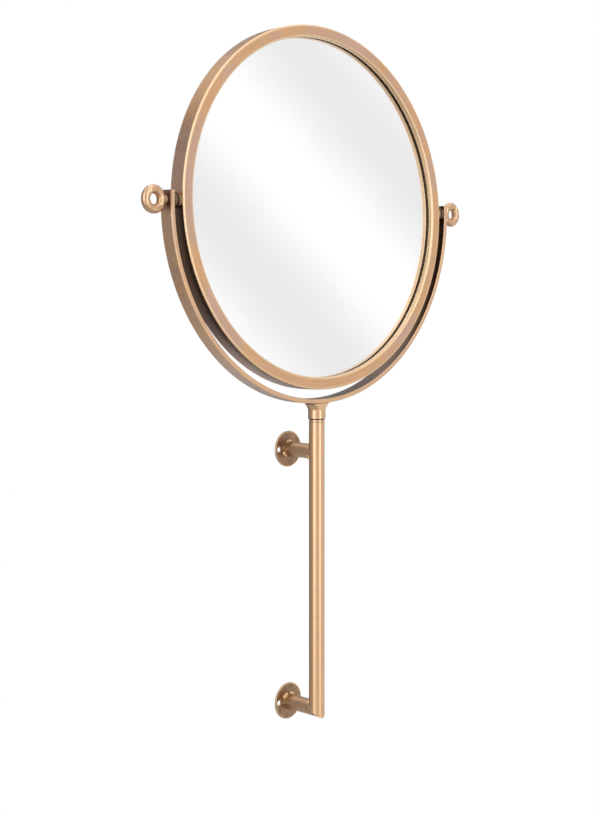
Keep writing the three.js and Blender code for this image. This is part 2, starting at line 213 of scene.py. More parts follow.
print("node helpers", [helper.__name__ for helper in (add, calc, remap, blend, noisy, bumped)])

# %% [markdown]
# ## Studio
# Brass is a mirror with a colour, so what stands round it matters more than how bright the lamps are.
# The room here is painted on the sky: grey behind, white to the front right where the mirror looks, and
# two tall soft boxes that draw the pair of upright highlights on the post. What the camera itself sees
# behind the object is plain white paper. The room is lighter overhead than underfoot, and a soft wave
# in the white card keeps the mirror from looking like an empty disc.

# %% The room round the object
ROOM = [(-180, 0.28), (-160, 0.36), (-150, 0.42), (-112, 0.55), (-100, 0.75), (-73, 0.95), (-45, 0.95),
        (-24, 0.97), (28, 0.97), (62, 0.97), (80, 0.92), (95, 0.65), (125, 0.45), (180, 0.28)]
ROOM_PEAK = 2.0
BOXES = [(-80, 17, 22, 1.5), (4, 8, 11, 2.2)]
BOX_TINT = (0.93, 1.06, 1.32, 1)
CARD_BEARING = math.pi / 2 - VIEW_BEARING
WAVE_ACROSS = 12.79 * math.pi
WAVE_UP = 10.66 * math.pi
WAVE_START = -1.145 * math.pi
WAVE_HEIGHT = 0.11
WAVE_FADE = 0.16, 0.5
OVERHEAD_FROM = 0.50, 0.80
UNDERFOOT_TONE, OVERHEAD_TONE = 0.80, 1.35
BOX_FOOT = -0.33, -0.12
BOX_FOOT_SHARE = 0.25

world = bpy.data.worlds.new("studio")
scene.world = world
world.use_nodes = True
sky = world.node_tree
sky.nodes.clear()
direction = add(sky, "ShaderNodeTexCoord").outputs["Generated"]
axes = split(sky, direction)
bearing = calc(sky, "ARCTAN2", axes["X"], calc(sky, "MULTIPLY", axes["Y"], -1.0))
ramp = add(sky, "ShaderNodeValToRGB", {0: remap(sky, bearing, -math.pi, math.pi, 0, 1)})
tones = ramp.color_ramp.elements
for degrees, _ in ROOM[1:-1]:
    tones.new((degrees + 180) / 360)
for degrees, light in ROOM:
    nearest = min(tones, key=lambda stop: abs(stop.position - (degrees + 180) / 360))
    nearest.color = [light / ROOM_PEAK] * 3 + [1]
around = calc(sky, "MULTIPLY", ramp.outputs["Color"], ROOM_PEAK)
overhead = remap(sky, calc(sky, "ABSOLUTE", axes["Z"]), *OVERHEAD_FROM, 0, 1, smooth=True)
far_tone = remap(sky, axes["Z"], -0.3, 0.3, UNDERFOOT_TONE, OVERHEAD_TONE)
room = add(sky, "ShaderNodeMix", {0: overhead, 2: around, 3: far_tone}).outputs[0]
print("room with", len(ROOM), "tones round it")

# %% Soft boxes and the wave in the card
reach = remap(sky, axes["Z"], *BOX_FOOT, BOX_FOOT_SHARE, 1, smooth=True)
boxes = 0.0
for degrees, half_width, softness, strength in BOXES:
    off_box = calc(sky, "ABSOLUTE", calc(sky, "SUBTRACT", bearing, math.radians(degrees)))
    soft_edge = math.radians(half_width - softness / 2), math.radians(half_width + softness / 2)
    glow = remap(sky, off_box, *soft_edge, strength, 0, smooth=True)
    glow = calc(sky, "MULTIPLY", glow, calc(sky, "SUBTRACT", reach, overhead))
    boxes = calc(sky, "ADD", boxes, calc(sky, "MAXIMUM", glow, 0.0))

off_card = calc(sky, "SUBTRACT", bearing, CARD_BEARING)
phase = calc(sky, "ADD", calc(sky, "MULTIPLY", off_card, WAVE_ACROSS),
             calc(sky, "MULTIPLY_ADD", axes["Z"], WAVE_UP, WAVE_START))
window = remap(sky, calc(sky, "ABSOLUTE", off_card), *WAVE_FADE, WAVE_HEIGHT, 0, smooth=True)
card = calc(sky, "MULTIPLY", calc(sky, "COSINE", phase), window)
plain = calc(sky, "ADD", room, card)
seen_light = calc(sky, "ADD", plain, boxes)
tint = blend(sky, calc(sky, "DIVIDE", boxes, seen_light), (1, 1, 1, 1), BOX_TINT)
paper = add(sky, "ShaderNodeBackground", {"Color": (1, 1, 1, 1), "Strength": 1.0})
light = add(sky, "ShaderNodeBackground", {"Color": tint, "Strength": seen_light})
by_camera = add(sky, "ShaderNodeLightPath").outputs["Is Camera Ray"]
both = add(sky, "ShaderNodeMixShader", {0: by_camera, 1: light.outputs[0], 2: paper.outputs[0]})
add(sky, "ShaderNodeOutputWorld", {"Surface": both.outputs[0]})
print("soft boxes", len(BOXES))

# %% The floor
FLOOR_DROP = 1.0
FLOOR_SIZE = 3.6


def pale_floor():
    """A white sheet that is bright enough to meet the paper behind it without an edge."""
    finish = bpy.data.materials.new("white_floor")
    finish.use_nodes = True
    tree = finish.node_tree
    place = add(tree, "ShaderNodeTexCoord").outputs["Object"]
    seen = add(tree, "ShaderNodeLightPath").outputs["Is Camera Ray"]
    fill(tree, tree.nodes["Principled BSDF"], {
        "Base Color": blend(tree, noisy(tree, place, 0.5), (0.50, 0.50, 0.50, 1), (0.54, 0.54, 0.54, 1)),
        "Roughness": 0.9, "Emission Color": (1, 1, 1, 1),
        "Emission Strength": calc(tree, "MULTIPLY", seen, 0.9)})
    half = FLOOR_SIZE / 2
    corners = [(x, y, -FLOOR_DROP) for x, y in ((-half, -half), (half, -half), (half, half), (-half, half))]
    mesh = bpy.data.meshes.new("floor")
    mesh.from_pydata(corners, [], [(0, 1, 2, 3)])
    mesh.materials.append(finish)
    sheet = put("floor", mesh)
    return sheet


print("floor", pale_floor().dimensions[:2])

# %% [markdown]
# ## Brushed brass
# The real finish is brass that was toned brown, brushed with an abrasive pad and lacquered. It is made of
# cloudy patches where the toning took warmer or pinker, fine scratches that all run one way, and edges
# where the brush cut through to bright metal. Shade is painted into the colour too: dark in the gaps and
# joints where pieces shadow and darkly reflect one another, and a mauve painted reflection of the pale
# floor on side walls low down. The patches are slow noise, the scratches are noise stretched along the
# brushing, and the painted shade, which also carries the braze fillet's real tarnish, and the bright edges
# follow attributes that each mesh carries. The lacquer is a thin coat. Colour, gloss and height all read
# the same scratches, so they agree wherever the light moves.

# %% The toned metal
GOLD = (0.640, 0.375, 0.200, 1)
ROSE = (0.570, 0.350, 0.245, 1)
BRIGHT = (0.800, 0.560, 0.330, 1)
DARK = (0.160, 0.090, 0.050, 1)
# Painted shade: the dark that shadowed gaps and joints are tinted towards; the braze fillet's real tarnish
# uses it too.
SHADE_AND_TARNISH = (0.075, 0.042, 0.028, 1)
# Painted reflection of the pale floor, tinted onto side walls low down.
FLOOR_REFLECTION_MAUVE = (0.620, 0.470, 0.420, 1)
BLUSH = (0.560, 0.365, 0.285, 1)
PIT_SCALE, SPARK_SCALE, BLUSH_SCALE = 900.0, 520.0, 13.0
# How far the painted shade, and the fillet's tarnish, darken the colour at full share.
SHADE_AND_TARNISH_DEPTH = 0.85
LACQUER_ROUGHNESS = 0.16


def new_finish(name):
    finish = bpy.data.materials.new(name)
    finish.use_nodes = True
    tree = finish.node_tree
    return finish, tree, tree.nodes["Principled BSDF"]


def local_place(tree, centre, turn=(0, 0, 0)):
    """Object coordinates measured from a piece's own centre, in its own upright axes."""
    place = add(tree, "ShaderNodeTexCoord").outputs["Object"]
    sockets = {"Vector": place, "Location": tuple(centre), "Rotation": turn}
    return add(tree, "ShaderNodeMapping", sockets, vector_type="TEXTURE").outputs[0]


def scaled(tree, vector, factors):
    return add(tree, "ShaderNodeVectorMath", {0: vector, 1: factors}, operation="MULTIPLY").outputs[0]


def brass(name, place, scratches, cloud=60.0, rough=0.30, rose=0.5, speck=0.12, depth=0.006,
          wave=0.05, gold=GOLD, dull=ROSE, edge=1.0, grain=0.12, glint=0.0, coat=0.1, blush=0.0, painted_floor_reflection=None):
    """Brass in patches of gold and dull, marked by the scratches that scratches() lays over a place."""
    finish, tree, shader = new_finish(name)
    where = place(tree)
    line = scratches(tree, where)
    patch = noisy(tree, where, cloud, 3.0, Roughness=0.55, Distortion=0.4)
    pits = noisy(tree, where, PIT_SCALE)
    worn = carried(tree, "wear")
    rosy = remap(tree, patch, 0.62 - 0.3 * rose, 0.86 - 0.3 * rose, 0, 1, smooth=True)
    colour = blend(tree, rosy, gold, dull)
    if blush:
        slow = noisy(tree, where, BLUSH_SCALE)
        colour = blend(tree, remap(tree, slow, 0.46, 0.58, 0, blush, smooth=True), colour, BLUSH)
    # Painted reflection of the floor: side-facing surfaces low down are tinted mauve.
    if painted_floor_reflection:
        sidelong = calc(tree, "SUBTRACT", 0.8, carried(tree, "facing"))
        lowness = remap(tree, split(tree, where)["Z"], *painted_floor_reflection, 0, 1, smooth=True)
        share = calc(tree, "MAXIMUM", calc(tree, "MULTIPLY", sidelong, lowness), 0.0)
        colour = blend(tree, share, colour, FLOOR_REFLECTION_MAUVE)
    tone = remap(tree, line, 0.25, 0.75, 1 - grain, 1 + grain)
    colour = blend(tree, 1.0, colour, tone, how="MULTIPLY")
    speckled = remap(tree, pits, 0.62, 0.75, 0, speck * 3, smooth=True)
    colour = blend(tree, speckled, colour, DARK)
    if glint:
        sparks = noisy(tree, where, SPARK_SCALE, 3.0)
        colour = blend(tree, remap(tree, sparks, 0.56, 0.70, 0, glint, smooth=True), colour, BRIGHT)
    # Painted shade in gaps and joints, and the braze fillet's real tarnish: both darken the colour and dim
    # the bright edges.
    shade_and_tarnish_share = carried(tree, "tarnish")
    colour = blend(tree, calc(tree, "MULTIPLY", shade_and_tarnish_share, SHADE_AND_TARNISH_DEPTH), colour, SHADE_AND_TARNISH)
    clean = calc(tree, "SUBTRACT", edge, calc(tree, "MULTIPLY", shade_and_tarnish_share, edge))
    rubbed = calc(tree, "MULTIPLY", worn, calc(tree, "MULTIPLY", remap(tree, line, 0.3, 0.6, 0.8, 1), clean))
    colour = blend(tree, rubbed, colour, BRIGHT)
    gloss = calc(tree, "ADD", remap(tree, line, 0.2, 0.8, rough - 0.05, rough + 0.09),
                 remap(tree, patch, 0.3, 0.7, -0.03, 0.05))
    shallow = calc(tree, "MULTIPLY", line, calc(tree, "MULTIPLY_ADD", worn, -depth, depth))
    height = calc(tree, "MULTIPLY_ADD", patch, wave, shallow)
    fill(tree, shader, {
        "Base Color": colour, "Roughness": gloss, "Normal": bumped(tree, height, 1.0, MM), "Metallic": 1.0,
        "Coat Weight": coat, "Coat Roughness": LACQUER_ROUGHNESS})
    return finish


print("brass tones", len([GOLD, ROSE, BRIGHT, DARK, SHADE_AND_TARNISH, FLOOR_REFLECTION_MAUVE, BLUSH]))


# %% Scratches
def streaks(tree, vector):
    return noisy(tree, vector, 1.0, 4.0, Roughness=0.62)


def ring_scratches(tree, where):
    """Scratches round the front face, and straight across the walls, of a ring about the Y axis."""
    x, y, z = split(tree, where)
    flat = joined(tree, x=x, z=z)
    radius = add(tree, "ShaderNodeVectorMath", {0: flat}, operation="LENGTH").outputs["Value"]
    along = joined(tree, calc(tree, "MULTIPLY", x, 26.0), calc(tree, "MULTIPLY", radius, 900.0),
                   calc(tree, "MULTIPLY", z, 26.0))
    across = scaled(tree, where, (700.0, 45.0, 700.0))
    sockets = {0: carried(tree, "facing"), 2: streaks(tree, across), 3: streaks(tree, along)}
    return add(tree, "ShaderNodeMix", sockets).outputs[0]


def straight_scratches(factors):
    return lambda tree, where: streaks(tree, scaled(tree, where, factors))


def at_pivot(tree):
    return local_place(tree, pivot, (-lean, 0, 0))


def at_yoke(tree):
    return local_place(tree, pivot)


print("scratches", ring_scratches.__name__, straight_scratches.__name__)

# %% [markdown]
# ## Mesh helpers
# Most of these pieces are turned: an outline goes round an axis. The outline is a short list of corners,
# each with the radius that rounds it, and the helper fills in the arcs. Points are then added along the
# straight stretches, because the wear attribute needs vertices close to every edge.


# %% Outlines and turning
ARC_STEPS = 6


def rounded(corners, closed=False):
    """Points of a polygon whose corners (radius, height, rounding) are replaced by arcs."""
    points = []
    count = len(corners)
    for i, (x, y, size) in enumerate(corners):
        here = Vector((x, y))
        if size == 0 or (not closed and i in (0, count - 1)):
            points.append(here)
            continue
        before = (Vector(corners[i - 1][:2]) - here).normalized()
        after = (Vector(corners[(i + 1) % count][:2]) - here).normalized()
        half = before.angle(after) / 2
        reach = size / math.tan(half)
        centre = here + (before + after).normalized() * size / math.sin(half)
        start = here + before * reach - centre
        turn = start.angle_signed(here + after * reach - centre)
        for step in range(ARC_STEPS + 1):
            angle = -turn * step / ARC_STEPS
            points.append(centre + Matrix.Rotation(angle, 2) @ start)
    return points


def spaced(points, gap, closed=False):
    """The same outline with more points, none further apart than gap."""
    result = []
    pairs = list(zip(points, points[1:] + points[:1])) if closed else list(zip(points, points[1:]))
    for first, second in pairs:
        steps = max(1, math.ceil((second - first).length / gap))
        result += [first.lerp(second, step / steps) for step in range(steps)]
    return result if closed else result + [points[-1]]


def turned(corners, steps=96, gap=1.2 * MM):
    """A closed shell turned about Z. An outline that starts on the axis also ends on it."""
    solid_core = corners[0][0] == 0
    outline = spaced(rounded(corners, closed=not solid_core), gap, closed=not solid_core)
    mesh = bmesh.new()
    rings = []
    for radius, height in outline:
        if radius < 1e-7:
            rings.append([mesh.verts.new((0, 0, height))])
            continue
        angles = [2 * math.pi * i / steps for i in range(steps)]
        rings.append([mesh.verts.new((radius * math.cos(a), radius * math.sin(a), height)) for a in angles])
    pairs = list(zip(rings, rings[1:]))
    if not solid_core:
        pairs.append((rings[-1], rings[0]))
    for low, high in pairs:
        for i in range(steps):
            j = (i + 1) % steps
            face = [low[i % len(low)], low[j % len(low)], high[j % len(high)], high[i % len(high)]]
            mesh.faces.new(list(dict.fromkeys(face)))
    bmesh.ops.recalc_face_normals(mesh, faces=mesh.faces)
    return mesh


def peg(radius, low, high, rounding=0, **how):
    """A solid round rod about Z with both ends rounded alike."""
    return turned([(0, low, 0), (radius, low, rounding), (radius, high, rounding), (0, high, 0)], **how)


corner = 0.2
square = rounded([(0, 0, corner), (1, 0, corner), (1, 1, corner), (0, 1, corner)], closed=True)
print("outline of a rounded square has", len(square))

# %% Finishing a mesh
SHARP = math.radians(38)
WEAR_REACH = 1.4 * MM


def mark_edges(mesh, facing_axis=None, tarnish=None, polish=None):
    """Writes how near each vertex is to an outer edge, which faces look forward, and how much painted shade
    or tarnish each takes.
    """
    work = bmesh.new()
    work.from_mesh(mesh)
    edgy = [v for v in work.verts if any(
        len(e.link_faces) == 2 and e.is_convex and e.calc_face_angle(0) > math.radians(8)
        for e in v.link_edges)]
    tree = KDTree(max(1, len(edgy)))
    for i, vertex in enumerate(edgy):
        tree.insert(vertex.co, i)
    tree.balance()
    wear = np.zeros(len(work.verts), np.float32)
    if edgy:
        for vertex in work.verts:
            wear[vertex.index] = max(0.0, 1 - tree.find(vertex.co)[2] / WEAR_REACH)
    if polish is not None:
        wear = np.maximum(wear, np.array([polish(v.co) for v in work.verts], np.float32))
    mesh.attributes.new("wear", "FLOAT", "POINT").data.foreach_set("value", wear)
    if facing_axis is not None:
        turns = [abs(v.normal.dot(facing_axis)) for v in work.verts]
        facing = np.array([min(1.0, turn ** 2 * 1.2) for turn in turns], np.float32)
        mesh.attributes.new("facing", "FLOAT", "POINT").data.foreach_set("value", facing)
    if tarnish is not None:
        shares = np.array([tarnish(v.co) for v in work.verts], np.float32)
        mesh.attributes.new("tarnish", "FLOAT", "POINT").data.foreach_set("value", shares)
    work.free()


def ease(value, low, high):
    """0 below low, 1 above high and a soft step in between."""
    share = min(1.0, max(0.0, (value - low) / (high - low)))
    return share * share * (3 - 2 * share)


def make_piece(name, mesh, place, finish, facing_axis=None, tarnish=None, polish=None, sharp=SHARP):
    """Turns a bmesh or a mesh into a finished object: placed in its mesh, shaded and marked for wear."""
    if isinstance(mesh, bmesh.types.BMesh):
        made = bpy.data.meshes.new(name)
        mesh.to_mesh(made)
        mesh.free()
        mesh = made
    mesh.transform(place)
    mesh.name = name
    mesh.shade_smooth()
    mesh.set_sharp_from_angle(angle=sharp)
    mark_edges(mesh, facing_axis, tarnish, polish)
    mesh.materials.clear()
    mesh.materials.append(finish)
    return put(name, mesh)


def settle(piece, body, slot, *nodes):
    """Rides a piece on its body and hides the nodes it stands for."""
    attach(piece, body)
    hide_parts(*nodes)
    triangles = sum(len(p.vertices) - 2 for p in piece.data.polygons)
    print(piece.name, "on", body, "with", triangles, "triangles")
    return piece


def carve(piece, *tools, operation="DIFFERENCE"):
    """Cuts plain tool meshes out of a bmesh and returns the result as a mesh."""
    base = bpy.data.meshes.new("carved")
    piece.to_mesh(base)
    piece.free()
    holder = put("carved", base)
    helpers = []
    for tool in tools:
        shape = bpy.data.meshes.new("tool")
        tool.to_mesh(shape)
        tool.free()
        helpers.append(put("tool", shape))
        cut = holder.modifiers.new("cut", "BOOLEAN")
        cut.object, cut.operation, cut.solver = helpers[-1], operation, "EXACT"
    result = plain_mesh(holder)
    for used in helpers:
        bpy.data.objects.remove(used)
    return result


print("wear reaches", WEAR_REACH, "metres from an edge")

# %% [markdown]
# ## Trees that grow a piece
# Geometry Nodes suit a piece that follows a path. Each tree takes its sizes as named inputs, and the
# result is turned into a plain mesh before anything else is done to it.


# %% Helpers for Geometry Nodes
SOCKET_KINDS = {float: "NodeSocketFloat", int: "NodeSocketInt"}


def new_tree(name, sizes):
    """A tree with one named input for each size, and the outputs of its input node."""
    tree = bpy.data.node_groups.new(name, "GeometryNodeTree")
    for label, value in sizes.items():
        tree.interface.new_socket(label, in_out="INPUT", socket_type=SOCKET_KINDS[type(value)])
    tree.interface.new_socket("Finish", in_out="INPUT", socket_type="NodeSocketMaterial")
    tree.interface.new_socket("Geometry", in_out="OUTPUT", socket_type="NodeSocketGeometry")
    return tree, tree.nodes.new("NodeGroupInput").outputs


def close_tree(tree, geometry, finish):
    """Ends a tree in Realize Instances and Set Material."""
    real = add(tree, "GeometryNodeRealizeInstances", {"Geometry": geometry})
    painted = add(tree, "GeometryNodeSetMaterial", {"Geometry": real.outputs[0], "Material": finish})
    add(tree, "NodeGroupOutput", {"Geometry": painted.outputs[0]})


def grow(name, tree, sizes, finish):
    """Runs a tree with these sizes and returns a plain mesh."""
    carrier = put(name, bpy.data.meshes.new(name))
    modifier = carrier.modifiers.new("grow", "NODES")
    modifier.node_group = tree
    for item in tree.interface.items_tree:
        if item.in_out == "INPUT":
            modifier[item.identifier] = finish if item.name == "Finish" else sizes[item.name]
    return plain_mesh(carrier)


def densely(tree, curve, gap):
    """Cuts each straight stretch of a curve into steps of about one gap, so that the mesh can carry wear."""
    index = add(tree, "GeometryNodeInputIndex").outputs[0]
    count = add(tree, "GeometryNodeSplineLength").outputs["Point Count"]
    following = calc(tree, "MODULO", calc(tree, "ADD", index, 1.0), count)
    place = add(tree, "GeometryNodeInputPosition").outputs[0]
    there = add(tree, "GeometryNodeFieldAtIndex", {"Index": following, "Value": place},
                data_type="FLOAT_VECTOR", domain="POINT").outputs[0]
    length = add(tree, "ShaderNodeVectorMath", {0: place, 1: there}, operation="DISTANCE").outputs["Value"]
    cuts = calc(tree, "FLOOR", calc(tree, "DIVIDE", length, gap))
    return add(tree, "GeometryNodeSubdivideCurve", {"Curve": curve, "Cuts": cuts}).outputs[0]


print("input kinds", len(SOCKET_KINDS))

# %% [markdown]
# ## Hoop
# The hoop is one brass strip folded to a channel: a deep outer wall, a flat face and a short inner lip
# that the glass rests against. It could be modelled as a turned outline, but the tree below makes it as
# a workshop would: the fold line has four points, its two corners are rounded to the bending radius, the
# line is swept round a circle, and the sheet is thickened last.

# %% Grow the hoop
hoop_sizes = {
    "Radius": hoop_radius, "Face": 13.2 * MM, "Depth": hoop_depth, "Front": hoop_front,
    "Lip": 6 * MM, "Sheet": 1.6 * MM, "Bend": 0.85 * MM, "Gap": 1.2 * MM, "Steps": 360,
}


def hoop_tree():
    tree, size = new_tree("folded_hoop", hoop_sizes)
    half = calc(tree, "MULTIPLY", size["Sheet"], 0.5)
    outer = calc(tree, "MULTIPLY", half, -1.0)
    inner = calc(tree, "SUBTRACT", half, size["Face"])
    front = calc(tree, "ADD", size["Front"], half)
    back = calc(tree, "ADD", size["Front"], size["Depth"])
    lip_end = calc(tree, "ADD", size["Front"], size["Lip"])
    corners = [(inner, lip_end), (inner, front), (outer, front), (outer, back)]
    fold = add(tree, "GeometryNodeCurvePrimitiveQuadrilateral", mode="POINTS")
    for number, (x, y) in enumerate(corners, start=1):
        fill(tree, fold, {f"Point {number}": joined(tree, x, y)})
    opened = add(tree, "GeometryNodeSetSplineCyclic", {"Geometry": fold.outputs[0], "Cyclic": False})
    bent = add(tree, "GeometryNodeFilletCurve", {"Curve": opened.outputs[0], "Count": 6,
                                                 "Radius": size["Bend"], "Limit Radius": True}, mode="POLY")
    dense = densely(tree, bent.outputs[0], size["Gap"])
    circle = add(tree, "GeometryNodeCurvePrimitiveCircle", {"Radius": size["Radius"],
                                                            "Resolution": size["Steps"]})
    swept = add(tree, "GeometryNodeCurveToMesh", {"Curve": circle.outputs[0], "Profile Curve": dense})
    close_tree(tree, swept.outputs[0], size["Finish"])
    return tree


def thicken(mesh, thickness, bevel):
    """Gives a folded sheet its thickness, half to each side, and breaks its cut edges."""
    holder = put("sheet", mesh)
    wall = holder.modifiers.new("wall", "SOLIDIFY")
    wall.thickness, wall.offset, wall.use_even_offset = thickness, 0, True
    arris = holder.modifiers.new("arris", "BEVEL")
    arris.width, arris.segments, arris.limit_method = bevel, 2, "ANGLE"
    arris.angle_limit = math.radians(60)
    return plain_mesh(holder)


def hoop_painted_shade(point):
    """Painted shade and reflection on the hoop's outer wall below the pivots, where the yoke shadows it."""
    x, y, z = head_place.inverted() @ point
    outside = ease(math.hypot(x, z), hoop_radius - 0.5 * MM, hoop_radius - 0.1 * MM)
    below = (1 - ease(z, -6 * MM, 8 * MM)) * (1 - 0.85 * ease(-z, 120 * MM, 185 * MM))
    return outside * below * ease(y, hoop_front + 1.2 * MM, hoop_front + 3.0 * MM)


def hoop_polish(point):
    """The inner lip, which was brushed brighter than the rest."""
    x, y, z = head_place.inverted() @ point
    return 0.9 * (1 - ease(math.hypot(x, z), hoop_radius - 12.9 * MM, hoop_radius - 12.4 * MM))


hoop_brass = brass("hoop_brass", at_pivot, ring_scratches, cloud=38.0, rough=0.27, rose=0.45, blush=0.75,
                   painted_floor_reflection=(-0.13, -0.19))
hoop_mesh = thicken(grow("hoop_line", hoop_tree(), hoop_sizes, hoop_brass), hoop_sizes["Sheet"], 0.3 * MM)
hoop = make_piece("hoop_shell", hoop_mesh, head_place @ upright, hoop_brass, tarnish=hoop_painted_shade,
                  polish=hoop_polish, facing_axis=head_place.to_3x3() @ Vector((0, 1, 0)))
settle(hoop, "mirror_head", "hoop_brass", "hoop")

# %% [markdown]
# ## Glass, silver and backing
# The mirror is a plain glass pane with silver behind it. Both are modelled: the thickness of the glass
# is what gives the dark line between the inner lip and its reflection.

# %% Glass and silver
def clear_glass():
    finish, tree, shader = new_finish("mirror_glass")
    place = at_pivot(tree)
    film = noisy(tree, place, 30.0)
    fill(tree, shader, {
        "Base Color": blend(tree, film, (0.995, 0.996, 0.995, 1), (0.998, 0.998, 0.998, 1)),
        "Roughness": remap(tree, film, 0.3, 0.7, 0.0, 0.004), "Transmission Weight": 1.0, "IOR": 1.5})
    return finish


def silver_layer():
    finish, tree, shader = new_finish("silvering")
    place = at_pivot(tree)
    haze = noisy(tree, place, 12.0, 3.0)
    fill(tree, shader, {
        "Base Color": blend(tree, haze, (0.970, 0.966, 0.968, 1), (0.978, 0.974, 0.976, 1)),
        "Roughness": remap(tree, haze, 0.3, 0.7, 0.0, 0.006), "Metallic": 1.0})
    return finish


def layer_span(node, thickness):
    """Where a pane's front and back lie along the mirror's own axis."""
    centre = head_place.inverted() @ middle(node)
    return centre.y - thickness / 2, centre.y + thickness / 2


def pane(name, node, thickness, finish, arris, slot):
    low, high = layer_span(node, thickness)
    shape = peg(pane_radius, -high, -low, arris, steps=240, gap=12 * MM)
    disc = make_piece(name, shape, head_place @ upright, finish)
    return settle(disc, "mirror_head", slot, node)


pane("glass_pane", "mirror_glass", 3 * MM, clear_glass(), 0.4 * MM, "mirror_glass")
pane("silver_coat", "mirror_silvering", SILVER_THICKNESS, silver_layer(), 0.1 * MM, "silvering")

# %% Cushion and board
SCREEN_PITCH = 4200.0
BOARD_THICKNESS = 4 * MM


def foam_sheet():
    finish, tree, shader = new_finish("cushion")
    cells = add(tree, "ShaderNodeTexVoronoi", {"Vector": at_pivot(tree), "Scale": 900.0}).outputs["Distance"]
    tint = blend(tree, cells, (0.030, 0.030, 0.032, 1), (0.065, 0.065, 0.068, 1))
    fill(tree, shader, {"Base Color": tint, "Normal": bumped(tree, cells, 0.5, 0.2 * MM), "Roughness": 0.9})
    return finish


def fibreboard():
    """Hardboard: matted brown fibres under a screen pattern pressed in from the mould."""
    finish, tree, shader = new_finish("backing_board")
    place = at_pivot(tree)
    fibres = noisy(tree, place, 260.0, 6.0, Roughness=0.7, Distortion=1.6)
    stain = noisy(tree, place, 14.0)
    x, _, z = split(tree, place)
    screen = calc(tree, "MULTIPLY", calc(tree, "SINE", calc(tree, "MULTIPLY", x, SCREEN_PITCH)),
                  calc(tree, "SINE", calc(tree, "MULTIPLY", z, SCREEN_PITCH)))
    matted = remap(tree, fibres, 0.3, 0.7, 0, 1)
    tint = blend(tree, matted, (0.105, 0.058, 0.030, 1), (0.275, 0.175, 0.100, 1))
    tint = blend(tree, remap(tree, stain, 0.35, 0.7, 0, 0.5), tint, (0.14, 0.085, 0.05, 1))
    height = calc(tree, "ADD", fibres, calc(tree, "MULTIPLY", screen, 0.35))
    fill(tree, shader, {"Base Color": tint, "Roughness": remap(tree, fibres, 0.3, 0.7, 0.6, 0.85),
                        "Normal": bumped(tree, height, 0.5, 0.15 * MM)})
    return finish


pane("foam_cushion", "cushion_sheet", 1 * MM, foam_sheet(), 0.2 * MM, "cushion")
pane("hardboard_back", "backing_board", BOARD_THICKNESS, fibreboard(), 0.6 * MM, "backing_board")

# %% [markdown]
# ## Tabs and screws behind the mirror
# Six angle tabs hold the board in. One tab and one screw are modelled, and the tree sets copies round a
# circle of points, each turned to face the axis.

# %% Zinc-plated steel
def plated_steel(name, tint_low, tint_high, rough):
    finish, tree, shader = new_finish(name)
    place = at_pivot(tree)
    spangle = add(tree, "ShaderNodeTexVoronoi", {"Vector": place, "Scale": 420.0}).outputs["Color"]
    grey = add(tree, "ShaderNodeSeparateColor", {0: spangle}).outputs[0]
    scuff = noisy(tree, place, 700.0, 5.0)
    shade = calc(tree, "MULTIPLY_ADD", grey, 0.5, calc(tree, "MULTIPLY", scuff, 0.5))
    fill(tree, shader, {
        "Base Color": blend(tree, shade, tint_low, tint_high), "Metallic": 1.0,
        "Roughness": remap(tree, scuff, 0.3, 0.7, rough - 0.06, rough + 0.12),
        "Normal": bumped(tree, scuff, 0.3, 0.02 * MM)})
    return finish


tab_steel = plated_steel("tab_steel", (0.46, 0.47, 0.48, 1), (0.68, 0.69, 0.69, 1), 0.34)
screw_steel = plated_steel("fastener_steel", (0.38, 0.38, 0.39, 1), (0.62, 0.62, 0.62, 1), 0.28)
print("steels", tab_steel.name, screw_steel.name)

# %% One tab and one screw
TAB_COUNT = 6
TAB_WIDTH = 14 * MM
TAB_SHEET = 1 * MM
TAB_REACH = 13 * MM
SCREW_INSET = 8 * MM
SCREW_SHANK, SCREW_HEAD, HEAD_RISE = 1.4 * MM, 3 * MM, 1.5 * MM
SLOT_LENGTH, SLOT_WIDTH, SLOT_DEPTH = 3.4 * MM, 0.7 * MM, 1.6 * MM
DRILL_RADIUS = 1.9 * MM
board_back = layer_span("backing_board", BOARD_THICKNESS)[1]
tab_foot = board_back + 0.3 * MM
tab_top = hoop_front + hoop_depth - 0.3 * MM
tab_radius = pane_radius + 0.1 * MM


def bent_tab():
    """An angle of thin sheet about the Z axis: a foot that points inwards and a leg that stands up."""
    bend = 1.4 * MM
    corners = [(tab_radius - TAB_REACH, tab_foot, 0), (tab_radius, tab_foot, bend), (tab_radius, tab_top, 0),
               (tab_radius - TAB_SHEET, tab_top, 0),
               (tab_radius - TAB_SHEET, tab_foot + TAB_SHEET, bend - TAB_SHEET),
               (tab_radius - TAB_REACH, tab_foot + TAB_SHEET, 0)]
    outline = rounded(corners, closed=True)
    tab = bmesh.new()
    near = [tab.verts.new((x, -TAB_WIDTH / 2, y)) for x, y in outline]
    face = tab.faces.new(near)
    raised = bmesh.ops.extrude_face_region(tab, geom=[face])["geom"]
    moved = [g for g in raised if isinstance(g, bmesh.types.BMVert)]
    bmesh.ops.translate(tab, verts=moved, vec=(0, TAB_WIDTH, 0))
    bmesh.ops.recalc_face_normals(tab, faces=tab.faces)
    return tab


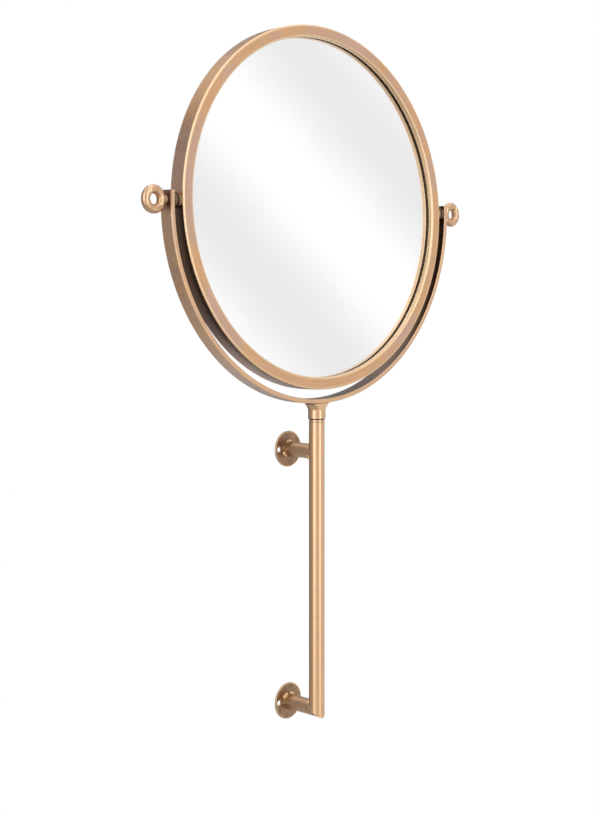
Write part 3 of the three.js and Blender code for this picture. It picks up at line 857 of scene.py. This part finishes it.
def screw_head():
    """A pan head with a cross-slot, over a short shank that runs into the board."""
    seat = tab_foot + TAB_SHEET
    tip = tab_foot - 2.5 * MM
    shape = turned([(0, tip, 0), (SCREW_SHANK, tip, 0), (SCREW_SHANK, seat, 0), (SCREW_HEAD, seat, 0.2 * MM),
                    (SCREW_HEAD, seat + 1.3 * MM, 0.8 * MM), (0, seat + HEAD_RISE, 0)], steps=32, gap=3 * MM)
    tools = []
    for length, width in ((SLOT_LENGTH, SLOT_WIDTH), (SLOT_WIDTH, SLOT_LENGTH)):
        slot = bmesh.new()
        bmesh.ops.create_cube(slot, size=1)
        place = Matrix.Translation((0, 0, seat + HEAD_RISE)) @ Matrix.Diagonal((length, width, SLOT_DEPTH, 1))
        bmesh.ops.transform(slot, matrix=place, verts=slot.verts)
        tools.append(slot)
    mesh = carve(shape, *tools)
    mesh.transform(Matrix.Translation((tab_radius - SCREW_INSET, 0, 0)))
    return mesh


def drilled_tab():
    drill = peg(DRILL_RADIUS, tab_foot - MM, tab_foot + 3 * MM, steps=32, gap=5 * MM)
    bmesh.ops.translate(drill, verts=drill.verts, vec=(tab_radius - SCREW_INSET, 0, 0))
    return carve(bent_tab(), drill)


print("board's back at", round(board_back, 4), "and the tabs' tops at", round(tab_top, 4))

# %% Copies round the circle
copy_sizes = {"Count": TAB_COUNT}


def circle_tree(name, shape):
    tree, size = new_tree(name, copy_sizes)
    spots = add(tree, "GeometryNodePoints", {"Count": size["Count"]}).outputs[0]
    number = add(tree, "GeometryNodeInputIndex").outputs[0]
    step = calc(tree, "DIVIDE", 2 * math.pi, size["Count"])
    angle = calc(tree, "MULTIPLY", calc(tree, "ADD", number, 0.5), step)
    source = add(tree, "GeometryNodeObjectInfo", {"Object": shape}).outputs["Geometry"]
    copies = add(tree, "GeometryNodeInstanceOnPoints", {"Points": spots, "Instance": source,
                                                        "Rotation": joined(tree, z=angle)})
    close_tree(tree, copies.outputs[0], size["Finish"])
    return tree


# Two shapes that the trees copy from, removed again below.
tab_shape = put("tab_shape", drilled_tab())
screw_shape = put("screw_shape", screw_head())
behind = head_place @ Matrix.Rotation(-math.pi / 2, 4, "X")
tabs = grow("tabs", circle_tree("tabs_round_board", tab_shape), copy_sizes, tab_steel)
screws = grow("screws", circle_tree("screws_round_board", screw_shape), copy_sizes, screw_steel)
tab_ring = make_piece("back_tabs", tabs, behind, tab_steel)
screw_ring = make_piece("back_tab_screws", screws, behind, screw_steel)
for used in (tab_shape, screw_shape):
    bpy.data.objects.remove(used)
settle(tab_ring, "mirror_head", "tab_steel", *[f"back_tab_{i + 1}" for i in range(TAB_COUNT)])
settle(screw_ring, "mirror_head", "fastener_steel", *[f"back_tab_screw_{i + 1}" for i in range(TAB_COUNT)])

# %% [markdown]
# ## Yoke
# The yoke is a flat bar rolled on its flat into a little more than half a circle. A tree sweeps the
# bar's rounded section along the arc; the hole in each tip is then drilled.

# %% Grow the yoke
yoke_radius = extent("yoke_strip").x / 2
tip_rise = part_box("yoke_strip")[1].z - pivot.z
BAR_THICKNESS = 5 * MM
BORE = 4.4 * MM
tip_angle = math.asin(tip_rise / (yoke_radius - BAR_THICKNESS))
yoke_sizes = {
    "Radius": yoke_radius - BAR_THICKNESS / 2, "Thickness": BAR_THICKNESS, "Width": extent("yoke_strip").y,
    "Rounding": 0.9 * MM, "Overrun": tip_angle, "Gap": 1.2 * MM, "Steps": 320,
}


def yoke_tree():
    tree, size = new_tree("rolled_yoke", yoke_sizes)
    sweep = calc(tree, "MULTIPLY_ADD", size["Overrun"], 2.0, math.pi)
    start = calc(tree, "SUBTRACT", math.pi, size["Overrun"])
    arc = add(tree, "GeometryNodeCurveArc", {"Radius": size["Radius"], "Start Angle": start,
                                             "Sweep Angle": sweep, "Resolution": size["Steps"]})
    bar = add(tree, "GeometryNodeCurvePrimitiveQuadrilateral", {"Width": size["Thickness"],
                                                                "Height": size["Width"]})
    soft = add(tree, "GeometryNodeFilletCurve", {"Curve": bar.outputs[0], "Count": 5,
                                                 "Radius": size["Rounding"]}, mode="POLY")
    dense = densely(tree, soft.outputs[0], size["Gap"])
    swept = add(tree, "GeometryNodeCurveToMesh", {"Curve": arc.outputs[0], "Profile Curve": dense,
                                                  "Fill Caps": True})
    close_tree(tree, swept.outputs[0], size["Finish"])
    return tree


def rod_along_x(radius, half_length, steps=48):
    rod = peg(radius, -half_length, half_length, steps=steps, gap=half_length)
    bmesh.ops.rotate(rod, verts=rod.verts, matrix=Matrix.Rotation(math.pi / 2, 3, "Y"))
    return rod


def yoke_painted_shade(point):
    """Painted shade on the yoke's inner face, behind its brushed front edge, and on its outer face next to
    the eye bolts.
    """
    x, y, z = point - pivot
    by_eye = 0.8 * ease(z, -16 * MM, -4 * MM) * ease(abs(x), yoke_radius - 1.2 * MM, yoke_radius - 0.4 * MM)
    inner_face, front_edge = yoke_radius - BAR_THICKNESS, -yoke_sizes["Width"] / 2
    inside = 1 - ease(math.hypot(x, z), inner_face + 0.05 * MM, inner_face + 0.4 * MM)
    return max(by_eye, inside * ease(y, front_edge + 0.8 * MM, front_edge + 2.4 * MM))


yoke_brass = brass("yoke_brass", at_yoke, ring_scratches, cloud=45.0, rough=0.27, rose=0.5, blush=0.4,
                   gold=(0.690, 0.420, 0.230, 1), dull=(0.610, 0.380, 0.245, 1), painted_floor_reflection=(-0.13, -0.20),
                   edge=0.3)
bar_mesh = grow("yoke_bar", yoke_tree(), yoke_sizes, yoke_brass)
bar = bmesh.new()
bar.from_mesh(bar_mesh)
bmesh.ops.transform(bar, matrix=upright, verts=bar.verts)
bmesh.ops.recalc_face_normals(bar, faces=bar.faces)
yoke_mesh = carve(bar, rod_along_x(BORE, yoke_radius + 5 * MM))
yoke = make_piece("yoke_bar", yoke_mesh, Matrix.Translation(pivot), yoke_brass,
                  facing_axis=Vector((0, 1, 0)), tarnish=yoke_painted_shade)
settle(yoke, "wall_bracket", "yoke_brass", "yoke_strip")

# %% [markdown]
# ## Socket, bush and post
# The socket under the yoke is turned, flared at its top and milled flat at front and back to the
# yoke's width, so its front comes flush with the bar. It sits on a bush that closes the tube.

# %% Socket
socket_low, socket_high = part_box("yoke_socket")
flare_radius = extent("yoke_socket").x / 2
SOCKET_RADIUS = 9.65 * MM
FLARE_HEIGHT = 7.5 * MM
stand = Matrix.Translation((0, pivot.y, 0))


def at_post(tree):
    return local_place(tree, (0, pivot.y, 0))


def socket_blank():
    """The turned blank: its flare swells slowly and then fast."""
    swell = []
    for i in range(1, 9):
        share = i / 8
        swell.append((SOCKET_RADIUS + (flare_radius - SOCKET_RADIUS) * share ** 1.7,
                      socket_high.z - FLARE_HEIGHT * (1 - share), 0))
    top = socket_high.z + 0.25 * MM
    return turned([(0, socket_low.z, 0), (SOCKET_RADIUS, socket_low.z, 0.6 * MM),
                   (SOCKET_RADIUS, socket_high.z - FLARE_HEIGHT, 2.5 * MM), *swell,
                   (flare_radius, top, 0), (0, top, 0)], steps=128, gap=0.8 * MM)


def milling_cutter(side):
    """A block that takes the flare down to the yoke's width on one side."""
    block = bmesh.new()
    bmesh.ops.create_cube(block, size=1)
    tall = FLARE_HEIGHT + 2 * MM
    across = side * (yoke_sizes["Width"] / 2 - 0.15 * MM + 10 * MM)
    spot = Matrix.Translation((0, across, socket_high.z - FLARE_HEIGHT + tall / 2))
    bmesh.ops.transform(block, matrix=spot @ Matrix.Diagonal((60 * MM, 20 * MM, tall, 1)), verts=block.verts)
    return block


post_brass = brass("post_brass", at_post, straight_scratches((420.0, 420.0, 30.0)), cloud=45.0, rough=0.22,
                   rose=0.35, speck=0.06, grain=0.04, depth=0.001, wave=0.015, coat=0.9, edge=0.3,
                   gold=(0.630, 0.370, 0.185, 1), dull=(0.570, 0.340, 0.185, 1))
socket_mesh = carve(socket_blank(), milling_cutter(-1), milling_cutter(1))


def joint_shadow(height, reach):
    """Painted shadow in the joint at a height, fading out over a reach to either side."""
    return lambda point: 1 - ease(abs(point.z - height), 0.3 * reach, reach)


def socket_painted_shadow(point):
    """Painted shadow in the joint below, and in the round part of the joint with the yoke above."""
    above = joint_shadow(socket_high.z, 1.3 * MM)(point)
    flat = yoke_sizes["Width"] / 2
    round_part = 1 - ease(abs(point.y - pivot.y), flat - 1.0 * MM, flat - 0.4 * MM)
    return max(joint_shadow(socket_low.z, 0.9 * MM)(point), above * round_part)


socket = make_piece("socket_saddle", socket_mesh, stand, post_brass, sharp=math.radians(30),
                    tarnish=socket_painted_shadow)
settle(socket, "wall_bracket", "yoke_brass", "yoke_socket")

# %% Bush, post and stud
post_radius = extent("post").x / 2
bush_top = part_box("post_bush")[1].z
post_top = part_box("post")[1].z
TUBE_WALL = 1.5 * MM


def bush():
    plug = post_radius - TUBE_WALL - 0.3 * MM
    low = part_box("post_bush")[0].z
    hole = 3.3 * MM
    return turned([(hole, low, 0), (plug, low, 0.4 * MM), (plug, post_top, 0),
                   (post_radius, post_top, 0.35 * MM), (post_radius, bush_top, 0.5 * MM),
                   (hole, bush_top, 0)], steps=96)


def long_post():
    """A tube about Z, longer than the post, whose foot is then cut at 45 degrees for the lower arm."""
    bore = post_radius - TUBE_WALL
    top, foot = post_top - 0.1 * MM, -post_radius * 2
    return turned([(bore, foot, 0), (post_radius, foot, 0), (post_radius, top, 0.35 * MM), (bore, top, 0)],
                  steps=96, gap=1.6 * MM)


def slice_off(tube, point, normal):
    """Cuts a tube by a plane, drops the side that the normal points to and closes the cut ring."""
    everything = tube.verts[:] + tube.edges[:] + tube.faces[:]
    bmesh.ops.bisect_plane(tube, geom=everything, plane_co=point, plane_no=normal, clear_outer=True)
    rims = [e for e in tube.edges if e.is_boundary]
    bmesh.ops.bridge_loops(tube, edges=rims)
    bmesh.ops.recalc_face_normals(tube, faces=tube.faces)
    return tube


post_mesh = slice_off(long_post(), (0, 0, 0.05 * MM), Vector((0, 1, -1)).normalized())
collar = make_piece("bush_collar", bush(), stand, post_brass, tarnish=joint_shadow(bush_top, 0.8 * MM))
settle(collar, "wall_bracket", "post_brass", "post_bush")
tube = make_piece("post_tube", post_mesh, stand, post_brass, tarnish=joint_shadow(post_top, 0.5 * MM))
settle(tube, "wall_bracket", "post_brass", "post")

stud_low, stud_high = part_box("yoke_stud")
stud_radius = extent("yoke_stud").x / 2
stud = peg(stud_radius, stud_low.z, stud_high.z, 0.5 * MM, steps=48)
settle(make_piece("stud", stud, stand, screw_steel), "wall_bracket", "fastener_steel", "yoke_stud")

# %% [markdown]
# ## Arms and wall flanges
# Two short tubes hold the post off the wall. The upper one is coped to the post's round, the lower one
# is mitred into its foot. Each is brazed to a thin round flange with a screw hole left and right, and
# the braze stands up as two golden lumps in a thin fillet.

# %% Rough brass of the bracket
arm_radius = extent("upper_arm").x / 2
arm_heights = {level: middle(f"{level}_wall_flange").z for level in ("lower", "upper")}
arm_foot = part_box("lower_arm")[1].y
rough_scratches = straight_scratches((300.0, 180.0, 300.0))

arm_brass = brass("arm_brass", at_post, rough_scratches, cloud=70.0, rough=0.34, rose=0.5, speck=0.2,
                  depth=0.012, glint=0.15, gold=(0.50, 0.31, 0.18, 1), dull=(0.42, 0.265, 0.165, 1))
flange_brass = brass("flange_brass", at_post, rough_scratches, cloud=110.0, rough=0.40, rose=0.7, speck=0.35,
                     depth=0.03, glint=0.35, gold=(0.33, 0.195, 0.112, 1), dull=(0.24, 0.145, 0.088, 1),
                     edge=0.6)
braze_metal = brass("braze", at_post, rough_scratches, cloud=300.0, rough=0.24, rose=0.2, speck=0.15,
                    depth=0.01, gold=(0.85, 0.58, 0.25, 1), dull=(0.60, 0.40, 0.20, 1))


def tube_along_y(low, high, radius, rounding=0.0):
    bore = radius - TUBE_WALL
    tube = turned([(bore, -high, 0), (radius, -high, rounding), (radius, -low, 0), (bore, -low, 0)],
                  steps=96, gap=5 * MM)
    bmesh.ops.transform(tube, matrix=upright, verts=tube.verts)
    return tube


def coping_post():
    reach = 30 * MM
    rod = peg(post_radius + 0.1 * MM, -reach, reach, steps=96, gap=reach)
    bmesh.ops.translate(rod, verts=rod.verts, vec=(0, pivot.y, 0))
    return rod


mitred_arm = slice_off(tube_along_y(pivot.y - 2 * arm_radius, arm_foot, arm_radius),
                       (0, pivot.y + 0.05 * MM, 0), Vector((0, -1, 1)).normalized())
coped_arm = carve(tube_along_y(pivot.y, arm_foot, arm_radius), coping_post())
for level, shape in (("lower", mitred_arm), ("upper", coped_arm)):
    rise = Matrix.Translation((0, 0, arm_heights[level]))
    arm = make_piece(f"{level}_arm_tube", shape, rise, arm_brass)
    settle(arm, "wall_bracket", "arm_brass", f"{level}_arm")

# %% Flanges
flange_radius = extent("lower_wall_flange").x / 2
flange_thickness = extent("lower_wall_flange").y
SCREW_HOLE_OFFSET = 14.6 * MM
SCREW_HOLE_RADIUS = 2.9 * MM


def flange_plate():
    plate = turned([(0, 0, 0), (flange_radius, 0, 0.3 * MM), (flange_radius, flange_thickness, 0.7 * MM),
                    (0, flange_thickness, 0)], steps=128)
    drills = []
    for side in (-1, 1):
        drill = peg(SCREW_HOLE_RADIUS, -MM, flange_thickness + MM, steps=48, gap=5 * MM)
        bmesh.ops.translate(drill, verts=drill.verts, vec=(side * SCREW_HOLE_OFFSET, 0, 0))
        drills.append(drill)
    return carve(plate, *drills)


for level, height in arm_heights.items():
    place = Matrix.Translation((0, 0, height)) @ upright
    flange = make_piece(f"{level}_flange_plate", flange_plate(), place, flange_brass)
    settle(flange, "wall_bracket", "flange_brass", f"{level}_wall_flange")

# %% [markdown]
# ## Braze
# A braze bead follows the line where two pieces meet, and it is never even. The tree walks round the
# arm and drops each point onto the joint. Two lumps stand at set angles, where the metal ran together,
# and slow noise with a fixed seed makes the thin fillet between them uneven. The lumps are bright and
# the fillet is tarnished.

# %% Grow the braze beads
bead_sizes = {"Arm": arm_radius, "Post": post_radius, "Bead": 1.5 * MM, "First lump": math.radians(96),
              "Second lump": math.radians(225), "Lumps": 3.4, "Seed": 2.0, "Steps": 140}
LUMP_EDGE = 0.88, 0.985
LUMP_RISE = 0.85
FILLET_TARNISH = 0.9
FLANGE_BEADS = {"lower": (2.0, 60, 128), "upper": (5.0, 92, 225)}


def bead_tree(name, on_post):
    tree, size = new_tree(name, bead_sizes)
    run = calc(tree, "ADD", size["Arm"], calc(tree, "MULTIPLY", size["Bead"], 0.35))
    circle = add(tree, "GeometryNodeCurvePrimitiveCircle", {"Radius": run, "Resolution": size["Steps"]})
    place = add(tree, "GeometryNodeInputPosition").outputs[0]
    x, y, _ = split(tree, place)
    depth = 0.0
    if on_post:
        shell = calc(tree, "ADD", size["Post"], calc(tree, "MULTIPLY", size["Bead"], 0.3))
        square = calc(tree, "SUBTRACT", calc(tree, "MULTIPLY", shell, shell), calc(tree, "MULTIPLY", x, x))
        depth = calc(tree, "SQRT", calc(tree, "MAXIMUM", square, 0.0))
    spot = joined(tree, x, depth, y)
    path = add(tree, "GeometryNodeSetPosition", {"Geometry": circle.outputs[0], "Position": spot})
    swirl = add(tree, "ShaderNodeVectorMath", {0: place, "Scale": 90.0}, operation="SCALE").outputs[0]
    lumps = add(tree, "ShaderNodeTexNoise", {"Vector": swirl, "W": size["Seed"], "Scale": size["Lumps"],
                                             "Detail": 1.0}, noise_dimensions="4D").outputs[0]
    number = add(tree, "GeometryNodeInputIndex").outputs[0]
    angle = calc(tree, "MULTIPLY", number, calc(tree, "DIVIDE", 2 * math.pi, size["Steps"]))
    blobs = 0.0
    for which in ("First lump", "Second lump"):
        near = calc(tree, "COSINE", calc(tree, "SUBTRACT", angle, size[which]))
        blobs = calc(tree, "MAXIMUM", blobs, remap(tree, near, *LUMP_EDGE, 0, 1, smooth=True))
    uneven = remap(tree, lumps, 0.35, 0.70, 0.35, 0.60, smooth=True)
    fat = calc(tree, "MULTIPLY", size["Bead"], calc(tree, "MULTIPLY_ADD", blobs, LUMP_RISE, uneven))
    section = add(tree, "GeometryNodeCurvePrimitiveCircle", {"Radius": 1.0, "Resolution": 16})
    dim = calc(tree, "SUBTRACT", FILLET_TARNISH, calc(tree, "MULTIPLY", blobs, FILLET_TARNISH))
    dimmed = add(tree, "GeometryNodeStoreNamedAttribute", {"Geometry": path.outputs[0], "Name": "tarnish",
                                                           "Value": dim}, data_type="FLOAT", domain="POINT")
    swept = add(tree, "GeometryNodeCurveToMesh", {"Curve": dimmed.outputs[0], "Scale": fat,
                                                  "Profile Curve": section.outputs[0]})
    close_tree(tree, swept.outputs[0], size["Finish"])
    return tree


def bead(name, node, tree, place, **changes):
    mesh = grow(name, tree, {**bead_sizes, **changes}, braze_metal)
    work = bmesh.new()
    work.from_mesh(mesh)
    bmesh.ops.recalc_face_normals(work, faces=work.faces)
    settle(make_piece(name, work, place, braze_metal, sharp=math.pi), "wall_bracket", "braze", node)


flat_bead = bead_tree("bead_on_flange", False)
saddle_bead = bead_tree("bead_on_post", True)
for level, (seed, first, second) in FLANGE_BEADS.items():
    place = Matrix.Translation((0, -flange_thickness - 0.3 * MM, arm_heights[level]))
    lumps = {"First lump": math.radians(first), "Second lump": math.radians(second)}
    bead(f"{level}_flange_braze", f"{level}_flange_bead", flat_bead, place, Seed=seed, **lumps)
bead("tee_braze", "upper_arm_bead", saddle_bead, Matrix.Translation((0, pivot.y, arm_heights["upper"])),
     Seed=9.0, Bead=1.1 * MM)

# %% [markdown]
# ## Pivots and eye bolts
# Each pivot has a boss on the hoop, a dark fibre washer, a spacer on the yoke and an eye bolt through
# all of them. The eye is forged: a rod bent round until its end closes on itself. The bar is a little
# uneven and the closing seam stays visible, so the ring is built point by point with those faults in it.

# %% Bosses, spacers and washers
# A darker copy of the brass as painted shade, for the bosses and spacers that sit in the dark gap between
# hoop and yoke.
pivot_shaded_brass = brass("pivot_shaded_brass", at_yoke, straight_scratches((500.0, 90.0, 90.0)), cloud=150.0,
                    rough=0.18, speck=0.2, glint=0.3, edge=0.15,
                    gold=(0.34, 0.205, 0.105, 1), dull=(0.22, 0.135, 0.08, 1))
eye_brass = brass("eye_brass", at_yoke, straight_scratches((260.0, 260.0, 260.0)), cloud=110.0, rough=0.15,
                  rose=0.5, speck=0.15, depth=0.004, wave=0.12, grain=0.10, glint=0.10, coat=0.6,
                  gold=(0.610, 0.370, 0.205, 1), dull=(0.400, 0.250, 0.165, 1))


def fibre_disc():
    finish, tree, shader = new_finish("fibre")
    weave = noisy(tree, at_yoke(tree), 1300.0, 4.0)
    fill(tree, shader, {"Base Color": blend(tree, weave, (0.014, 0.012, 0.011, 1), (0.055, 0.048, 0.042, 1)),
                        "Roughness": remap(tree, weave, 0.3, 0.7, 0.5, 0.75)})
    return finish


fibre = fibre_disc()


def pivot_painted_shade(point):
    """Painted shade: dark towards the washer, in the gap, and lighter where the boss meets the hoop."""
    return 0.85 * ease(abs(point.x), hoop_radius + 1.5 * MM, hoop_radius + 3.5 * MM)


def pivot_ring(name, node, body, finish, slot, rounding):
    """A drilled disc on the pivot axis that fills its node's box."""
    low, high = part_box(node)
    radius = extent(node).z / 2
    ring = turned([(BORE, low.x, 0), (radius, low.x, rounding), (radius, high.x, rounding),
                   (BORE, high.x, 0)], steps=72, gap=0.8 * MM)
    place = Matrix.Translation(pivot) @ Matrix.Rotation(math.pi / 2, 4, "Y")
    settle(make_piece(name, ring, place, finish, tarnish=pivot_painted_shade), body, slot, node)


for side in ("left", "right"):
    pivot_ring(f"{side}_boss", f"{side}_pivot_boss", "mirror_head", pivot_shaded_brass, "eye_brass", 0.9 * MM)
    pivot_ring(f"{side}_washer", f"{side}_pivot_washer", "mirror_head", fibre, "fibre", 0.2 * MM)
    pivot_ring(f"{side}_spacer", f"{side}_yoke_spacer", "wall_bracket", pivot_shaded_brass, "eye_brass", 0.9 * MM)

# %% Forged rings
BAR_RADIUS = 4.9 * MM
eye_radius = extent("right_eye_bolt").z / 2
eye_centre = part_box("right_eye_bolt")[1].x - eye_radius
SEAM_ANGLE = math.radians(56)
SEAM_DEPTH, SEAM_WIDTH = 0.55 * MM, 0.38 * MM
DENT_ROOM = 0.16 * MM
NECK_RADIUS = 5.2 * MM
AROUND, ACROSS = 180, 56


def forged_ring():
    """A ring in the XZ plane about (eye_centre, 0, 0), uneven, with a closing seam near its top."""
    ring = bmesh.new()
    core = eye_radius - BAR_RADIUS
    rows = []
    for i in range(AROUND):
        turn = 2 * math.pi * i / AROUND
        outward = Vector((math.cos(turn), 0, math.sin(turn)))
        row = []
        for j in range(ACROSS):
            roll = 2 * math.pi * j / ACROSS
            swell = outward * math.cos(roll) + Vector((0, math.sin(roll), 0))
            spot = outward * core + swell * BAR_RADIUS
            dent = 0.20 * MM * (noise.noise(spot * 120) - 0.5) + 0.04 * MM * (noise.noise(spot * 420) - 0.5)
            slant = turn - SEAM_ANGLE - 0.28 * math.cos(roll) - 0.15 * math.sin(roll)
            groove = SEAM_DEPTH * math.exp(-(slant * core / SEAM_WIDTH) ** 2)
            row.append(ring.verts.new(outward * core + swell * (BAR_RADIUS - DENT_ROOM + dent - groove)))
        rows.append(row)
    for i in range(AROUND):
        for j in range(ACROSS):
            k, m = (i + 1) % AROUND, (j + 1) % ACROSS
            ring.faces.new((rows[i][j], rows[k][j], rows[k][m], rows[i][m]))
    bmesh.ops.recalc_face_normals(ring, faces=ring.faces)
    bmesh.ops.translate(ring, verts=ring.verts, vec=(eye_centre, 0, 0))
    return ring


def neck_and_shank():
    inner_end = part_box("right_eye_bolt")[0].x
    shoulder = yoke_radius + 0.3 * MM
    radius = 4 * MM
    shank = turned([(0, inner_end, 0), (radius, inner_end, 0.6 * MM), (radius, shoulder, 0),
                    (NECK_RADIUS, shoulder, 0.4 * MM), (NECK_RADIUS, shoulder + 1.8 * MM, 1.2 * MM),
                    (radius, shoulder + 4 * MM, 0), (0, shoulder + 4 * MM, 0)], steps=72)
    bmesh.ops.rotate(shank, verts=shank.verts, matrix=Matrix.Rotation(math.pi / 2, 3, "Y"))
    return shank


def eye_painted_shade(point):
    """Painted shade on the neck and the foot of the ring, which the ring shadows."""
    ring_foot = eye_centre - eye_radius
    return 0.8 * (1 - ease(abs(point.x), ring_foot + 0.5 * MM, ring_foot + 4 * MM))


for side, sign in (("left", -1), ("right", 1)):
    bolt = carve(forged_ring(), neck_and_shank(), operation="UNION")
    if sign < 0:
        bolt.transform(Matrix.Diagonal((-1, 1, 1, 1)))
        bolt.flip_normals()
    eye = make_piece(f"{side}_eye", bolt, Matrix.Translation(pivot), eye_brass, sharp=math.radians(50),
                     tarnish=eye_painted_shade)
    settle(eye, f"{side}_eye", "eye_brass", f"{side}_eye_bolt")
